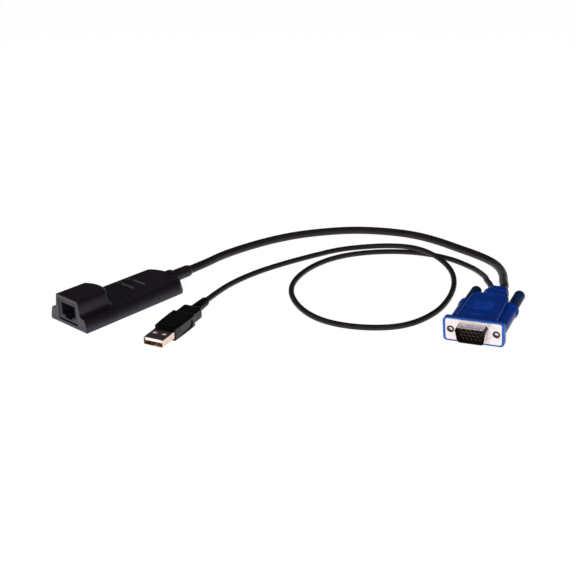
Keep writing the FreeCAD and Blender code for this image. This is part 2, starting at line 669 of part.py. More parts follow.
def video_pins():
    pins = []
    for y, z in pin_places():
        straight = rod(PIN_RADIUS, Vector(-PIN_TAIL, y, z), Vector(PIN_TIP - 0.4, y, z))
        tip = Part.makeCone(PIN_RADIUS, PIN_RADIUS * 0.45, 0.4, Vector(PIN_TIP - 0.4, y, z), Vector(1, 0, 0))
        pins.append(join([straight, tip]))
    return Part.Compound(pins)


def video_back_shell():
    """The rear metal shell: a flange behind the front plate and a skirt round the insulator."""
    width, height = BACK_SHELL_SIZE
    front = -PLATE_THICKNESS
    flange = rounded_slab(front - BACK_SHELL_WALL, front, PLATE_WIDTH / 2, PLATE_HEIGHT / 2, PLATE_CORNER)
    skirt = rounded_slab(-BACK_SHELL_DEPTH, front, width / 2, height / 2, BACK_SHELL_CORNER)
    inside = rounded_slab(-BACK_SHELL_DEPTH - 1, 1, width / 2 - BACK_SHELL_WALL,
                          height / 2 - BACK_SHELL_WALL, BACK_SHELL_CORNER)
    shell = join([flange, skirt]).cut(inside)
    for y in screw_sides():
        shell = shell.cut(rod(BORE_RADIUS + FIT, Vector(-9, y, 0), Vector(1, y, 0)))
    return shell


def inner_potting():
    """The hard inner moulding that fills the back shell behind the pins."""
    width, height = BACK_SHELL_SIZE
    return rounded_slab(-BACK_SHELL_DEPTH - POTTING_BEHIND, -PIN_TAIL, width / 2 - BACK_SHELL_WALL,
                        height / 2 - BACK_SHELL_WALL, BACK_SHELL_CORNER)


def hood_middle():
    """The middle of the hood: sides that draw in towards the back, then rounded shoulders."""
    start, end, corner = -RIM_DEPTH + 0.2, -HOOD_END, HOOD_CORNER
    rear = HOOD_REAR_HALF_WIDTH
    slope = Vector(end + corner - start, rear - HOOD_HALF_WIDTH, 0).normalize()
    edges = [line(Vector(start, -HOOD_HALF_WIDTH, 0), Vector(start, HOOD_HALF_WIDTH, 0))]
    ends = {}
    for side in (1, -1):
        outward = Vector(slope.y, -side * slope.x, 0)
        centre = Vector(end + corner, side * (rear - corner), 0)
        on_side, on_back = centre + outward * corner, centre + Vector(-corner, 0, 0)
        halfway = centre + (outward + Vector(-1, 0, 0)).normalize() * corner
        edges += [line(Vector(start, side * HOOD_HALF_WIDTH, 0), on_side), arc(on_side, halfway, on_back)]
        ends[side] = on_back
    edges.append(line(ends[1], ends[-1]))
    face = Part.Face(Part.Wire(Part.__sortEdges__(edges)))
    face.translate(Vector(0, 0, -HOOD_HALF_HEIGHT))
    return face.extrude(Vector(0, 0, 2 * HOOD_HALF_HEIGHT))


def cable_boss():
    """The boss at the back of the hood that both cables leave: a neck, a ridge and a smaller cap."""
    height, corner = BOSS_HALF_HEIGHT, BOSS_HALF_HEIGHT - 0.5
    half = BOSS_RIDGE_WIDTH / 2
    end = rounded_end(-BOSS_END, CAP_HALF_WIDTH, CAP_HALF_HEIGHT, CAP_HALF_HEIGHT - 0.4, 0.3)
    boss = stack([(-HOOD_END + 4, BOSS_NECK, height, corner), (-HOOD_END - 0.5, BOSS_NECK, height, corner),
                  (-HOOD_END - 3, BOSS_HALF_WIDTH, height, corner),
                  (-BOSS_RIDGE - half, BOSS_HALF_WIDTH, height, corner),
                  (-BOSS_RIDGE - half - 0.5, CAP_HALF_WIDTH + 0.2, CAP_HALF_HEIGHT + 0.1, corner - 0.4)] + end)
    wide, high, round_off = BOSS_HALF_WIDTH + BOSS_RIDGE_RISE, height + BOSS_RIDGE_RISE, corner + 0.3
    ridge = stack([(-BOSS_RIDGE + half, BOSS_HALF_WIDTH - 0.1, height - 0.1, corner - 0.1),
                   (-BOSS_RIDGE + half / 2, wide, high, round_off),
                   (-BOSS_RIDGE - half / 2, wide, high, round_off),
                   (-BOSS_RIDGE - half, BOSS_HALF_WIDTH - 0.1, height - 0.1, corner - 0.1)])
    return [boss, ridge]


def video_hood():
    """The coloured moulding over the video plug."""
    rim = rounded_slab(-RIM_DEPTH, RIM_PROUD, RIM_WIDTH / 2, RIM_HEIGHT / 2, RIM_CORNER)
    middle = hood_middle()
    middle = middle.makeFillet(HOOD_EDGE, [
        e for e in middle.Edges if abs(abs(e.CenterOfMass.z) - HOOD_HALF_HEIGHT) < 0.01
        and e.CenterOfMass.x < -RIM_DEPTH - 0.1])
    pieces = [rim, middle] + cable_boss()
    for y in screw_sides():
        pieces.append(rod(SLEEVE_RADIUS, Vector(-SLEEVE_END, y, 0), Vector(-RIM_DEPTH + 0.2, y, 0)))
        band = rod(SLEEVE_RADIUS + SLEEVE_COLLAR, Vector(-SLEEVE_END, y, 0),
                   Vector(-SLEEVE_END + SLEEVE_COLLAR_LENGTH, y, 0))
        pieces.append(band)
    hood = join(pieces)
    for y in screw_sides():
        hood = hood.cut(rod(KNOB_RADIUS + KNOB_CHANNEL, Vector(-HOOD_END - 9, y, 0), Vector(-SLEEVE_END, y, 0)))
        hood = hood.cut(rod(BORE_RADIUS, Vector(-SLEEVE_END - 1, y, 0), Vector(1, y, 0)))
    pocket_depth = PLATE_THICKNESS + BACK_SHELL_WALL
    hood = hood.cut(rounded_slab(-pocket_depth, 1, PLATE_WIDTH / 2, PLATE_HEIGHT / 2, PLATE_CORNER))
    width, height = BACK_SHELL_SIZE
    hood = hood.cut(rounded_slab(-BACK_SHELL_DEPTH, 0, width / 2, height / 2, BACK_SHELL_CORNER))
    hood = hood.cut(rounded_slab(-BACK_SHELL_DEPTH - POTTING_BEHIND, 0, width / 2 - BACK_SHELL_WALL,
                                 height / 2 - BACK_SHELL_WALL, BACK_SHELL_CORNER))
    panel = box(-PANEL_END, -PANEL_START, -PANEL_HALF_WIDTH, PANEL_HALF_WIDTH,
                HOOD_HALF_HEIGHT - PANEL_DEPTH, HOOD_HALF_HEIGHT + 1)
    panel = panel.makeFillet(PANEL_CORNER, [e for e in panel.Edges if abs(e.tangentAt(e.FirstParameter).z) > 0.9])
    return hood.cut(panel)


def thumbscrew_shaft(y):
    front = -THREAD_SET_BACK
    back = -SLEEVE_END - KNOB_GAP - SHAFT_IN_KNOB * KNOB_LENGTH
    shaft = rod(THREAD_RADIUS, Vector(back, y, 0), Vector(front, y, 0))
    return shaft.makeChamfer(0.3, edges_where(shaft, lambda p: p.x > front - 0.01)[:1])


def thumbscrew_knob(y):
    """A long knob with grooves along it and a domed end."""
    front = -SLEEVE_END - KNOB_GAP
    back = front - KNOB_LENGTH
    knob = rod(KNOB_RADIUS, Vector(back, y, 0), Vector(front, y, 0))
    knob = knob.makeFillet(KNOB_ROUND, edges_where(knob, lambda p: p.x < back + 0.01)[:1])
    knob = knob.makeChamfer(0.4, edges_where(knob, lambda p: p.x > front - 0.01)[:1])
    for i in range(KNOB_FLUTES):
        angle = 2 * math.pi * i / KNOB_FLUTES
        side = Vector(0, math.cos(angle), math.sin(angle)) * (KNOB_RADIUS + 0.15)
        centre = Vector(0, y, 0) + side
        knob = knob.cut(rod(FLUTE_RADIUS, centre + Vector(back - 1, 0, 0), centre + Vector(front - 2.2, 0, 0)))
    bore_end = front - SHAFT_IN_KNOB * KNOB_LENGTH
    return knob.cut(rod(THREAD_RADIUS, Vector(bore_end, y, 0), Vector(front + 1, y, 0)))


# ------------------------------------------------------------------ USB plug, in its own frame
def usb_placement():
    return Placement(Vector(*USB_PLACE), Rotation(USB_HEADING, 0, 0))


def usb_shell():
    """The folded metal shell, with its latch holes and the seam where its edges meet."""
    width, height = USB_SHELL
    back = -USB_SHELL_OUT - USB_SHELL_IN
    shell = rounded_slab(back, 0, width / 2, height / 2, USB_SHELL_CORNER)
    inner = rounded_slab(back - 1, 1, width / 2 - USB_SHELL_WALL, height / 2 - USB_SHELL_WALL,
                         USB_SHELL_CORNER - USB_SHELL_WALL + 0.05)
    shell = shell.cut(inner)
    long, wide = USB_HOLE
    x, y = USB_HOLE_PLACE
    for side in (-1, 1):
        shell = shell.cut(box(-x - long / 2, -x + long / 2, side * y - wide / 2, side * y + wide / 2, -9, 9))
    seam = box(-USB_SHELL_OUT, 1, -0.06, 0.06, height / 2 - 0.15, height / 2 + 1)
    return shell.cut(seam)


def usb_tongue():
    """The white carrier: a thin shelf in the upper half of the mouth and a full block behind it."""
    width, height = USB_SHELL
    top = height / 2 - USB_SHELL_WALL
    back = -USB_SHELL_OUT - USB_SHELL_IN
    half = width / 2 - USB_SHELL_CORNER - FIT
    shelf = box(-TONGUE_ROOT - 0.5, -TONGUE_SET_BACK, -half, half, top - TONGUE_THICKNESS, top)
    root = box(back, -TONGUE_ROOT, -half, half, -top, top)
    return join([shelf, root])


def usb_contacts():
    """Four plated strips under the shelf."""
    top = USB_SHELL[1] / 2 - USB_SHELL_WALL - TONGUE_THICKNESS
    return Part.Compound([box(-TONGUE_ROOT, -TONGUE_SET_BACK - 0.8, y - 0.5, y + 0.5, top - 0.15, top)
                          for y in USB_CONTACTS])


def usb_grip():
    """The moulded grip: a wide part with finger pads, a narrower step and a grooved tail."""
    front = -USB_SHELL_OUT
    wide, narrow = GRIP_HALF_WIDTH, GRIP_FRONT_HALF_WIDTH
    high, corner = GRIP_HALF_HEIGHT, 1.3
    swell = [(front - 0.5, narrow, high, corner), (front - 0.3 * (GRIP_END + front), 0.5 * (wide + narrow)
             + 0.12, high, corner), (front - 0.65 * (GRIP_END + front), wide, high, corner)]
    grip = stack([(front, narrow - 0.5, high - 0.5, corner - 0.3)] + swell
                 + rounded_end(-GRIP_END, wide, high, corner, 0.9))
    step = stack([(-GRIP_END + 2, GRIP_STEP_HALF_WIDTH, GRIP_STEP_HALF_HEIGHT, 1.5)]
                 + rounded_end(-GRIP_STEP_END, GRIP_STEP_HALF_WIDTH, GRIP_STEP_HALF_HEIGHT, 1.5, 1.4))
    tail = Part.makeCone(TAIL_RADIUS, TAIL_TIP, TAIL_END - GRIP_STEP_END + 2,
                         Vector(-GRIP_STEP_END + 2, 0, 0), Vector(-1, 0, 0))
    pitch = (TAIL_END - GRIP_STEP_END) / (TAIL_GROOVES + 0.6)
    for i in range(TAIL_GROOVES):
        x = -GRIP_STEP_END - pitch * (i + 0.9)
        ring = rod(TAIL_RADIUS + 1, Vector(x, 0, 0), Vector(x - TAIL_GROOVE_WIDTH, 0, 0))
        core = rod(TAIL_RADIUS - TAIL_GROOVE_DEPTH - 0.04 * i, Vector(x, 0, 0), Vector(x - TAIL_GROOVE_WIDTH, 0, 0))
        tail = tail.cut(ring.cut(core))
    grip = join([grip, step, tail])
    start, end, half, depth = GRIP_PAD
    for side in (-1, 1):
        pad = rounded_pad(start, end, half).extrude(Vector(0, side * 3, 0))
        pad.translate(Vector(0, side * (wide - depth - 0.15), 0))
        grip = grip.cut(pad)
    width, height = USB_SHELL
    return grip.cut(rounded_slab(front - USB_SHELL_IN, front + 1, width / 2, height / 2, USB_SHELL_CORNER))


def rounded_pad(start, end, half):
    """A long oval face in the XZ plane."""
    top_a, top_b = Vector(-start - half, 0, half), Vector(-end + half, 0, half)
    low_a, low_b = Vector(-start - half, 0, -half), Vector(-end + half, 0, -half)
    return Part.Face(Part.Wire([line(top_a, top_b), arc(top_b, Vector(-end, 0, 0), low_b), line(low_b, low_a),
                                arc(low_a, Vector(-start, 0, 0), top_a)]))


# ------------------------------------------------------------------ cables
def cable_ends():
    """Where each cable leaves a piece, and the point one short straight run further on."""
    plug, usb = plug_placement(), usb_placement()
    back = Vector(-1, 0, 0)

    def leave(place, at, run):
        return place.multVec(at), place.multVec(at + back * run)
    return {"relief": (Vector(RELIEF_END, 0, CABLE_AXIS), Vector(RELIEF_END + 14.5, 0, CABLE_AXIS)),
            "main": leave(plug, Vector(-BOSS_END, MAIN_EXIT, 0), 4.8),
            "video_usb": leave(plug, Vector(-BOSS_END, USB_EXIT, 0), 3.5),
            "usb": leave(usb, Vector(-TAIL_END, 0, 0), 12.0)}


MAIN_ROUTE = [(87, 4, 3.3), (109, 3.5, 2.6), (130.5, -0.5, 2.6), (151.5, -8, 2.6), (170, -19.5, 2.6),
              (185, -32.5, 2.6), (196, -49, 2.6), (203.5, -67.5, 2.6), (204.5, -87, 2.6), (201.5, -107.5, 2.6),
              (197.5, -125, 2.9), (190, -140, 4.2), (178.5, -151, 6.3), (166, -159, 8.6), (155, -165.5, 10.4),
              (147, -171, 11.8)]

USB_ROUTE = [(141.4, -165.3, 11.4), (145.6, -162.1, 11.1), (149.7, -156.7, 10.3), (157, -150, 8.5),
             (168, -141.5, 5.3), (178.5, -128.5, 2.4), (183.5, -112, 1.7), (180.5, -93, 1.7), (171.5, -77, 1.7),
             (156, -62, 1.7), (136, -52, 1.7), (111, -50.5, 1.7), (86.5, -57.5, 1.7), (69.5, -70.5, 1.7),
             (57.5, -90.5, 1.7), (55, -110, 1.7), (63.5, -130.5, 1.7), (80, -146, 1.7), (105, -149.5, 1.7),
             (128.5, -144.5, 1.7), (150, -134.5, 1.7), (167.5, -121, 2.2), (176, -105, 4.8), (174.5, -88.5, 8.5),
             (165.5, -68, 8.5), (157, -55, 4.6), (146, -45.5, 1.8), (129, -39.5, 1.7), (107, -34, 1.7),
             (84, -30, 1.7), (60.5, -31, 2.2)]


def cable(name, points, radius):
    """A tube along straight runs joined by tangent arcs."""
    points = [Vector(*p) for p in points]
    edges = []
    last = points[0]
    radii = []
    for before, at, after in zip(points, points[1:], points[2:]):
        into, out = (at - before), (after - at)
        reach = 0.45 * min(into.Length, out.Length)
        into.normalize()
        out.normalize()
        turn = math.acos(max(-1.0, min(1.0, into.dot(out))))
        bend = reach / math.tan(turn / 2)
        radii.append(bend)
        start, end = at - into * reach, at + out * reach
        inward = (out - into).normalize()
        middle = at + inward * (bend / math.cos(turn / 2) - bend)
        edges += [line(last, start), arc(start, middle, end)]
        last = end
    edges.append(line(last, points[-1]))
    path = Part.Wire(edges)
    section = Part.Wire([Part.makeCircle(radius, points[0], points[1] - points[0])])
    tube = path.makePipeShell([section], True, False)
    expected = math.pi * radius ** 2 * path.Length
    print(name, "length", round(path.Length, 1), "least radius", round(min(radii), 1),
          "volume over section times length", round(tube.Volume / expected, 4))
    return tube


def placed(shape, placement):
    shape = shape.copy()
    shape.transformShape(placement.toMatrix(), True)
    return shape


def main():
    ends = cable_ends()
    for key, (exit_point, lead) in ends.items():
        print(key, [round(c, 2) for c in exit_point], [round(c, 2) for c in lead])
    parts = {
        "upper_shell": upper_shell(),
        "lower_shell": lower_shell(),
        "circuit_board": circuit_board(),
        "network_jack": network_jack(),
        "jack_contacts": jack_contacts(),
        "link_light_pipe": light_pipe(LENS_PLACES[0]),
        "activity_light_pipe": light_pipe(LENS_PLACES[1]),
        "indicator_lamps": indicator_lamps(),
        "controller_chip": flat_chip(CONTROLLER, 4),
        "video_driver_chip": flat_chip(VIDEO_DRIVER, 2),
        "network_transformer": flat_chip(TRANSFORMER, 2),
        "crystal_can": board_block(CRYSTAL_PLACE, CRYSTAL_SIZE),
        "cable_header": board_block((HEADER_END - HEADER_SIZE[0] / 2, 0), HEADER_SIZE),
        "inner_leads": inner_leads(),
        "case_screws": case_screws(),
        "cable_relief": cable_relief(),
    }
    video = {
        "video_hood": video_hood(),
        "video_plate": video_plate(),
        "video_insulator": video_insulator(),
        "video_pins": video_pins(),
        "video_back_shell": video_back_shell(),
        "video_potting": inner_potting(),
    }
    for side, y in zip(("left", "right"), screw_sides()):
        video[side + "_screw_shaft"] = thumbscrew_shaft(y)
        video[side + "_screw_knob"] = thumbscrew_knob(y)
    usb = {
        "usb_grip": usb_grip(),
        "usb_shell": usb_shell(),
        "usb_tongue": usb_tongue(),
        "usb_contacts": usb_contacts(),
    }
    for group, placement in ((video, plug_placement()), (usb, usb_placement())):
        for name, shape in group.items():
            parts[name] = placed(shape, placement)
    parts["main_cable"] = cable("main cable", [*ends["relief"], *MAIN_ROUTE, *ends["main"][::-1]], CABLE_RADIUS)
    parts["usb_cable"] = cable("USB cable", [*ends["video_usb"], *USB_ROUTE, *ends["usb"][::-1]],
                               USB_CABLE_RADIUS)
    axis = plug_placement().Rotation.multVec(Vector(1, 0, 0))
    print("thumbscrew axis", [round(c, 6) for c in axis])
    for y in screw_sides():
        print("thumbscrew", [round(c, 3) for c in plug_placement().multVec(Vector(-SLEEVE_END, y, 0))])
    for name, shape in parts.items():
        if not shape.isValid():
            print("not valid:", name)
        shape.exportStep("parts/" + name + ".step")


main()
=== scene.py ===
"""Looks of a keyboard, video and mouse adapter: materials, cables, hood bars, studio and camera."""

import json
import math

import bmesh
import bpy
from mathutils import Matrix, Vector


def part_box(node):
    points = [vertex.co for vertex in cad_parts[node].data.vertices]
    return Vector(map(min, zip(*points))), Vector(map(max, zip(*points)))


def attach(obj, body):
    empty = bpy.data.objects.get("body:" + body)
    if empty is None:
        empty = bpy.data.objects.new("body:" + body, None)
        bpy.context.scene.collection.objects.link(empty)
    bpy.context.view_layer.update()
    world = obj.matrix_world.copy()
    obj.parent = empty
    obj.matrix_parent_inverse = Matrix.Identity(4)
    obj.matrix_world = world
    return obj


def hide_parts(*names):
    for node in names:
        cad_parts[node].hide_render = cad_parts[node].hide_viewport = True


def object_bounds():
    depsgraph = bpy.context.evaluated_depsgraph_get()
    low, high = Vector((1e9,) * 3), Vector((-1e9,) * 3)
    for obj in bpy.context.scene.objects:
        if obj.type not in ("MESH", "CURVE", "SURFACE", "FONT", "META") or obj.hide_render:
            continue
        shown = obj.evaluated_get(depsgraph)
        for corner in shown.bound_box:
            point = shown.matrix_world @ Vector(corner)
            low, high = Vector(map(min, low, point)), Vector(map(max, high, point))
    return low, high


MM = 0.001

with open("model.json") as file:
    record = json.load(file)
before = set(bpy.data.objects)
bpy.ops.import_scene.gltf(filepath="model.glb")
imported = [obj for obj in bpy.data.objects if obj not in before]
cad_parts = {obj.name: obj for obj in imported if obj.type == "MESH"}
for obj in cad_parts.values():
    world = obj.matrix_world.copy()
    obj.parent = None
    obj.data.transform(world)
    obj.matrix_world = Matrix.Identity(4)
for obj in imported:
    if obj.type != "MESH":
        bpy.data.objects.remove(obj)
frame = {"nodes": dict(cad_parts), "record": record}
cad_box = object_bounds()
record = frame["record"]


# ------------------------------------------------------------------ places from the record
def joints_by_body():
    return {joint["child"]: joint for joint in record["behaviour"]["joints"]}


def plug_frame():
    """The video plug's own axes: +X out of its mouth, +Z out of the hood's broad face."""
    joints = joints_by_body()
    left, right = (Vector(joints[side + "_thumbscrew"]["pos_m"]) for side in ("left", "right"))
    face = next(Vector(mount["pos_m"]) for mount in record["mounts"]
                if mount["name"] == "video_plug")
    forward = Vector(joints["left_thumbscrew"]["axis"]).normalized()
    side = (right - left).normalized()
    up = forward.cross(side)
    turn = Matrix((forward, side, up)).transposed().to_4x4()
    return Matrix.Translation(face) @ turn


# ------------------------------------------------------------------ node helpers
def new_material(name):
    """A material with its tree and its shader, and the object's own coordinates in metres."""
    material = bpy.data.materials.new(name)
    material.use_nodes = True
    tree = material.node_tree
    place = tree.nodes.new("ShaderNodeTexCoord").outputs["Object"]
    return material, tree, tree.nodes["Principled BSDF"], place


def fill(tree, socket, value):
    """Links another node's socket to an input, or sets the input's own value."""
    if isinstance(value, bpy.types.NodeSocket):
        tree.links.new(value, socket)
    else:
        socket.default_value = value


def add(tree, kind, settings=None, **inputs):
    """A node with its settings and inputs; an input is a value or another node's socket."""
    node = tree.nodes.new("ShaderNode" + kind)
    for name, value in (settings or {}).items():
        setattr(node, name, value)
    for name, value in inputs.items():
        fill(tree, node.inputs[name.replace("_", " ")], value)
    return node


def math_node(tree, operation, *values, clamp=False):
    node = add(tree, "Math", {"operation": operation, "use_clamp": clamp})
    for socket, value in zip(node.inputs, values):
        fill(tree, socket, value)
    return node.outputs[0]


def vector_node(tree, operation, *values):
    node = add(tree, "VectorMath", {"operation": operation})
    for socket, value in zip(node.inputs, values):
        fill(tree, socket, value)
    return node.outputs


def noise(tree, place, size, detail=3.0):
    """Smooth noise whose blotches are about one size across, from 0 to 1."""
    return add(tree, "TexNoise", Vector=place, Scale=1.0 / size, Detail=detail,
               Roughness=0.55).outputs["Fac"]


def spread(tree, value, low, high, start=0.3, end=0.7):
    """Maps the part of a value from start to end, as a rule the middle of a noise, to a range."""
    return add(tree, "MapRange", {"clamp": True}, Value=value, From_Min=start, From_Max=end,
               To_Min=low, To_Max=high).outputs["Result"]


def mix(tree, share, first, second):
    """A colour between two colours."""
    node = add(tree, "Mix", {"data_type": "RGBA"}, Factor=share)
    fill(tree, node.inputs["A"], first)
    fill(tree, node.inputs["B"], second)
    return node.outputs["Result"]


def rgb(red, green, blue):
    return (red, green, blue, 1.0)


def shade(colour, share):
    """The same colour, darker or lighter."""
    return rgb(*(min(1.0, channel * share) for channel in colour[:3]))


def bump(tree, height, depth, normal=None):
    """A normal leant by a height from 0 to 1, which stands for this depth in metres."""
    node = add(tree, "Bump", Height=height, Distance=depth, Strength=1.0)
    if normal is not None:
        fill(tree, node.inputs["Normal"], normal)
    return node.outputs["Normal"]


def crowned(tree, place, normal, bands, strength):
    """Leans the side walls' normals up towards each band's top, as crowned walls do.

    A band is (low, high) in z.
    """
    height = add(tree, "SeparateXYZ", Vector=place).outputs["Z"]
    lean = None
    for low, high in bands:
        above = math_node(tree, "GREATER_THAN", height, low)
        below = math_node(tree, "LESS_THAN", height, high)
        rise = spread(tree, height, 0.0, strength, low, high)
        part = math_node(tree, "MULTIPLY", rise, math_node(tree, "MULTIPLY", above, below))
        lean = part if lean is None else math_node(tree, "ADD", lean, part)
    true_normal = add(tree, "NewGeometry").outputs["Normal"]
    sideways = add(tree, "SeparateXYZ", Vector=true_normal).outputs["Y"]
    lean = math_node(tree, "MULTIPLY", lean, math_node(tree, "ABSOLUTE", sideways))
    shift = add(tree, "CombineXYZ", Z=lean).outputs["Vector"]
    total = vector_node(tree, "ADD", normal, shift)["Vector"]
    return vector_node(tree, "NORMALIZE", total)["Vector"]


# ------------------------------------------------------------------ kinds of material
def moulded(name, colour, roughness, edge=0.0, specular=0.5, mottle=0.12, gloss=rgb(1, 1, 1),
            bands=(), print_and_painted_light_mask=None, print_and_painted_light_colour=None):
    """Moulded plastic or rubber: fine grain, faint mottling, uneven sheen and softened edges."""
    blotch_size, sheen_size, wear_and_patch_size = 9 * MM, 2.2 * MM, 0.5 * MM
    grain_size, grain_depth = 0.35 * MM, 0.012 * MM
    crown_strength = 0.4

    material, tree, shader, place = new_material(name)
    blotches = spread(tree, noise(tree, place, blotch_size), 0.0, 1.0)
    tint = mix(tree, blotches, shade(colour, 1 - mottle), shade(colour, 1 + mottle))
    # The mask lays print on the housing's deck, a painted highlight on the hood's rim and painted
    # shade in the socket's cavity, each made patchy by noise.
    if print_and_painted_light_mask:
        mask = print_and_painted_light_mask(tree, place)
        wear_and_patchiness = spread(tree, noise(tree, place, wear_and_patch_size), 0.55, 1.0)
        tint = mix(tree, math_node(tree, "MULTIPLY", mask, wear_and_patchiness), tint, print_and_painted_light_colour)
    fill(tree, shader.inputs["Base Color"], tint)

    sheen = noise(tree, place, sheen_size, detail=4.0)
    fill(tree, shader.inputs["Roughness"], spread(tree, sheen, roughness - 0.04, roughness + 0.05))
    shader.inputs["Specular IOR Level"].default_value = specular
    shader.inputs["Specular Tint"].default_value = gloss

    soft = add(tree, "Bevel", {"samples": 6}, Radius=edge).outputs["Normal"] if edge else None
    if bands:
        soft = crowned(tree, place, soft, bands, crown_strength)
    grain = noise(tree, place, grain_size, detail=2.0)
    fill(tree, shader.inputs["Normal"], bump(tree, grain, grain_depth, soft))
    return material


def plated(name, colour, roughness, waves=2.5 * MM, depth=0.01 * MM, metallic=1.0, painted_streak_colour=None):
    """Plated sheet metal: fine rolling marks, faint waviness and slight tarnish.

    Where a streak colour is given, the drawn shell ahead of the video plug's plate gets darker
    streaks of painted reflection and painted shade, and the walls inside its mouth get painted
    shade.
    """
    tarnish_size, reflection_streak_size = 3 * MM, 1.3 * MM
    mark_size, mark_depth = 0.25 * MM, 0.0015 * MM
    # The mouth's dark colour is painted shade.
    tarnished, painted_mouth_shade = 0.82, rgb(0.02, 0.013, 0.011)

    material, tree, shader, place = new_material(name)
    tarnish = spread(tree, noise(tree, place, tarnish_size, detail=5.0), 0.0, 1.0, 0.45, 0.75)
    tint = mix(tree, tarnish, colour, shade(colour, tarnished))
    if painted_streak_colour:
        # Painted reflection and shade: streaks of a darker colour on what stands ahead of the
        # plate.
        painted_reflection_streaks = spread(tree, noise(tree, place, reflection_streak_size, detail=4.0), 0.2, 1.0, 0.42, 0.58)
        ahead, mouth_shade_mask = nose_masks(tree, place)
        tint = mix(tree, math_node(tree, "MULTIPLY", ahead, painted_reflection_streaks), tint, painted_streak_colour)
        tint = mix(tree, mouth_shade_mask, tint, painted_mouth_shade)
    fill(tree, shader.inputs["Base Color"], tint)

    shader.inputs["Metallic"].default_value = metallic
    marks = noise(tree, place, mark_size, detail=2.0)
    fill(tree, shader.inputs["Roughness"], spread(tree, marks, roughness - 0.05, roughness + 0.08))
    long_waves = bump(tree, noise(tree, place, waves, detail=2.0), depth)
    fill(tree, shader.inputs["Normal"], bump(tree, marks, mark_depth, long_waves))
    return material


def clear_lens(name, colour):
    """Dark, clear moulding of an unlit light pipe or lamp."""
    cloud_size, ripple_size, ripple_depth = 0.8 * MM, 0.6 * MM, 0.01 * MM

    material, tree, shader, place = new_material(name)
    clouds = spread(tree, noise(tree, place, cloud_size), 0, 1)
    fill(tree, shader.inputs["Base Color"], mix(tree, clouds, colour, shade(colour, 1.5)))
    shader.inputs["Roughness"].default_value = 0.12
    shader.inputs["Coat Weight"].default_value = 0.5
    ripple = noise(tree, place, ripple_size)
    fill(tree, shader.inputs["Normal"], bump(tree, ripple, ripple_depth))
    return material


def cable_jacket(name, colour):
    """Soft vinyl jacket: faint ripple of the cores below, fine grain and a broad sheen."""
    patch_size, sheen_size = 6 * MM, 1.5 * MM
    core_size, core_depth = 3 * MM, 0.05 * MM
    grain_size, grain_depth = 0.3 * MM, 0.01 * MM

    material, tree, shader, place = new_material(name)
    patches = spread(tree, noise(tree, place, patch_size), 0, 1)
    fill(tree, shader.inputs["Base Color"],
         mix(tree, patches, shade(colour, 0.82), shade(colour, 1.2)))
    fill(tree, shader.inputs["Roughness"], spread(tree, noise(tree, place, sheen_size), 0.4, 0.52))
    shader.inputs["Specular IOR Level"].default_value = 0.32
    ripple = bump(tree, noise(tree, place, core_size, detail=1.0), core_depth)
    grain = noise(tree, place, grain_size)
    fill(tree, shader.inputs["Normal"], bump(tree, grain, grain_depth, ripple))
    return material


# ------------------------------------------------------------------ masks
def plug_axes(tree, place):
    """How far a point lies forward, sideways and up from the middle of the video plug's face."""
    plug = plug_frame()
    distances = []
    for column in range(3):
        axis = plug.col[column].to_3d()
        along = vector_node(tree, "DOT_PRODUCT", place, axis)["Value"]
        distances.append(math_node(tree, "SUBTRACT", along, plug.translation.dot(axis)))
    return distances


def nose_masks(tree, place):
    """1 on what stands ahead of the video plug's plate, which gets streaks of painted reflection
    and shade, and 1 on the walls inside its mouth, which get painted shade.
    """
    off_plate = 0.25 * MM
    mouth_half_height, mouth_half_width = 4.38 * MM, 7.82 * MM
    side_slope = 0.176                  # the D's sides lean 10 degrees

    forward, side, up = plug_axes(tree, place)
    ahead = math_node(tree, "GREATER_THAN", forward, off_plate)
    between = math_node(tree, "LESS_THAN", math_node(tree, "ABSOLUTE", up), mouth_half_height)
    slanted = math_node(tree, "MULTIPLY_ADD", up, -side_slope, math_node(tree, "ABSOLUTE", side))
    within = math_node(tree, "MULTIPLY", between,
                       math_node(tree, "LESS_THAN", slanted, mouth_half_width))
    return ahead, math_node(tree, "MULTIPLY", ahead, within)


def painted_rim_highlight(tree, place):
    """The hood's rim beside the plate, lighter towards its front: a painted highlight."""
    rim_back, rim_front = -1.6 * MM, -0.2 * MM
    return spread(tree, plug_axes(tree, place)[0], 0.0, 1.0, rim_back, rim_front)


def deck_print(tree, place):
    """Two rows of plain printed bars beside the lamps on the deck."""
    half_width, half_length = 0.75 * MM, 5.4 * MM
    half_gap, half_pitch, gap_shift = 0.22 * MM, 1.15 * MM, 0.3 * MM
    lens_height = 0.9 * MM
    rows = (("link_light_pipe", 0.25 * MM, 6.15 * MM), ("activity_light_pipe", -1.4 * MM, 6.8 * MM))

    x, y, z = add(tree, "SeparateXYZ", Vector=place).outputs
    total = None
    for lamp, forward, inward in rows:
        low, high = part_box(lamp)
        across = math_node(tree, "COMPARE", x, (low.x + high.x) / 2 - forward, half_width)
        along = math_node(tree, "COMPARE", y, low.y - inward, half_length)
        gaps = math_node(tree, "PINGPONG", math_node(tree, "ADD", y, gap_shift), half_pitch)
        dashes = math_node(tree, "GREATER_THAN", gaps, half_gap)
        row = math_node(tree, "MULTIPLY", math_node(tree, "MULTIPLY", across, along), dashes)
        total = row if total is None else math_node(tree, "ADD", total, row)
    on_deck = math_node(tree, "GREATER_THAN", z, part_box("link_light_pipe")[1].z - lens_height)
    return math_node(tree, "MULTIPLY", total, on_deck, clamp=True)


def painted_cavity_shade(tree, place):
    """The network socket's cavity, behind its front frame, where painted shade darkens the plastic.
    """
    frame_depth = 0.5 * MM
    x = add(tree, "SeparateXYZ", Vector=place).outputs["X"]
    depth = math_node(tree, "SUBTRACT", x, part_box("network_jack")[0].x)
    return math_node(tree, "GREATER_THAN", depth, frame_depth)


